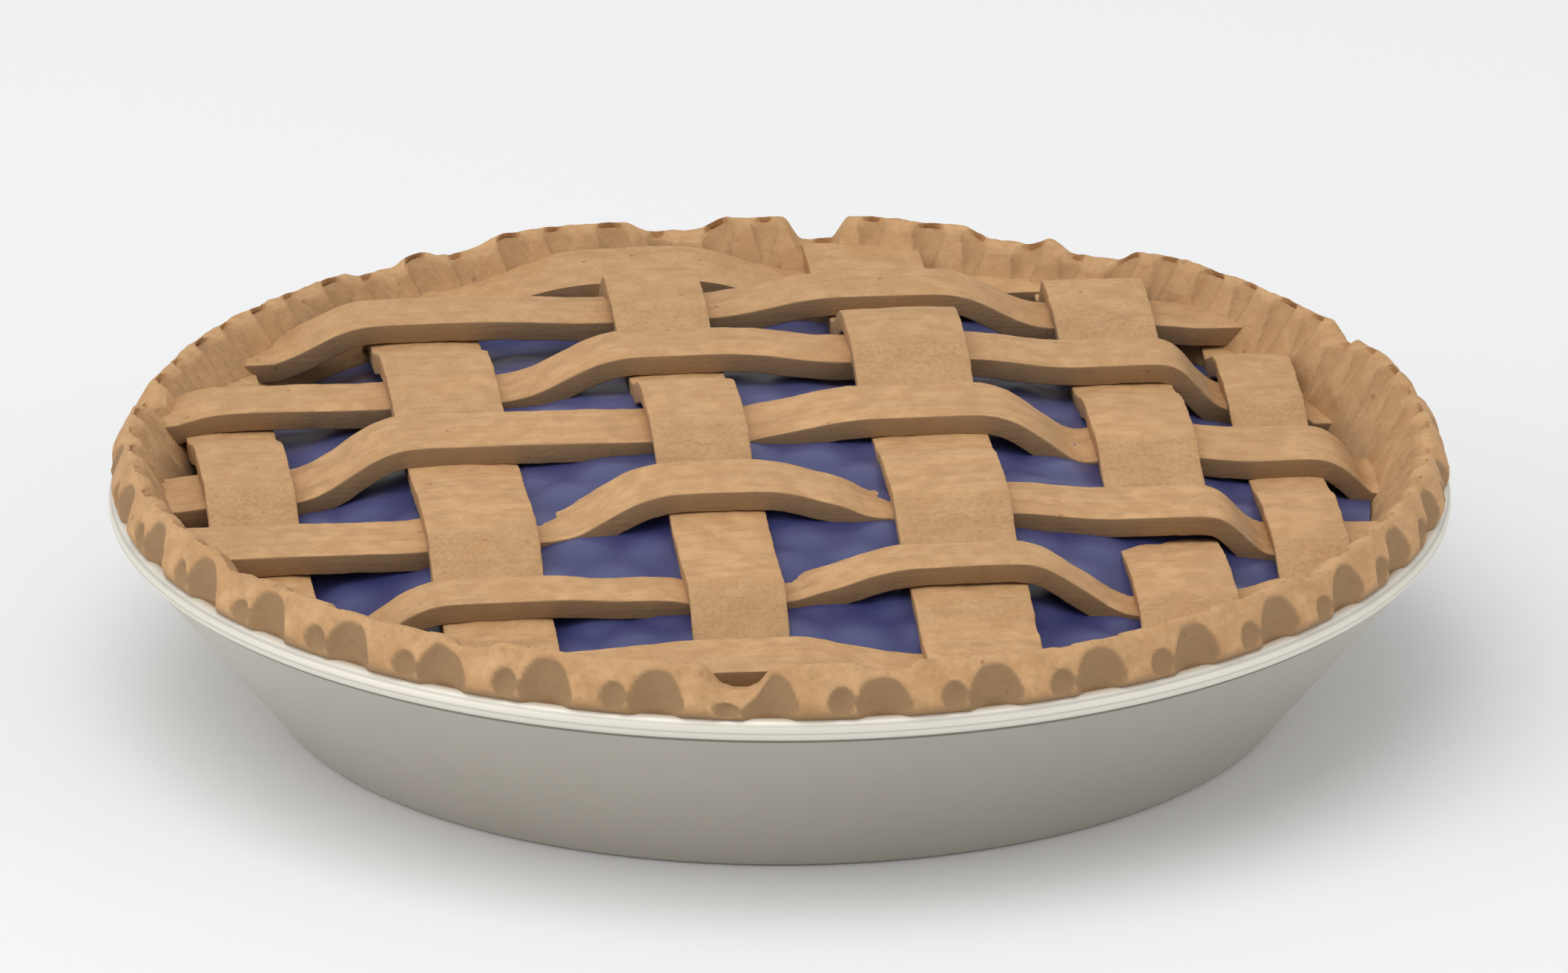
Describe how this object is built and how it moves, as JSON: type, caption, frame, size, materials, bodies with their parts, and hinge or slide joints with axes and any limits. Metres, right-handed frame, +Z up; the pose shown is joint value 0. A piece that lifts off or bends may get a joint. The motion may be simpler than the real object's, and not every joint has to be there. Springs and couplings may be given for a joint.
{
  "type": "lattice pie",
  "caption": "Round berry pie with a woven lattice top and a crimped crust, in a flared metal tin with a rolled rim.",
  "frame": {"origin": "on the surface the pie stands on, under the middle of the tin", "axes": "+Z up; +Y towards the back, the side away from the viewer; +X to the right"},
  "size_m": [0.2412, 0.2412, 0.0554],
  "materials": {
    "tin": "satin",
    "pastry": "matte, baked golden",
    "filling": "glossy"
  },
  "bodies": {
    "root": {"tin": "tin", "crust": "pastry", "filling": "filling", "strip_h1": "pastry", "strip_h2": "pastry", "strip_h3": "pastry", "strip_h4": "pastry", "strip_h5": "pastry", "strip_h6": "pastry", "strip_h7": "pastry", "strip_v1": "pastry", "strip_v2": "pastry", "strip_v3": "pastry", "strip_v4": "pastry", "strip_v5": "pastry", "strip_v6": "pastry"}
  },
  "joints": []
}
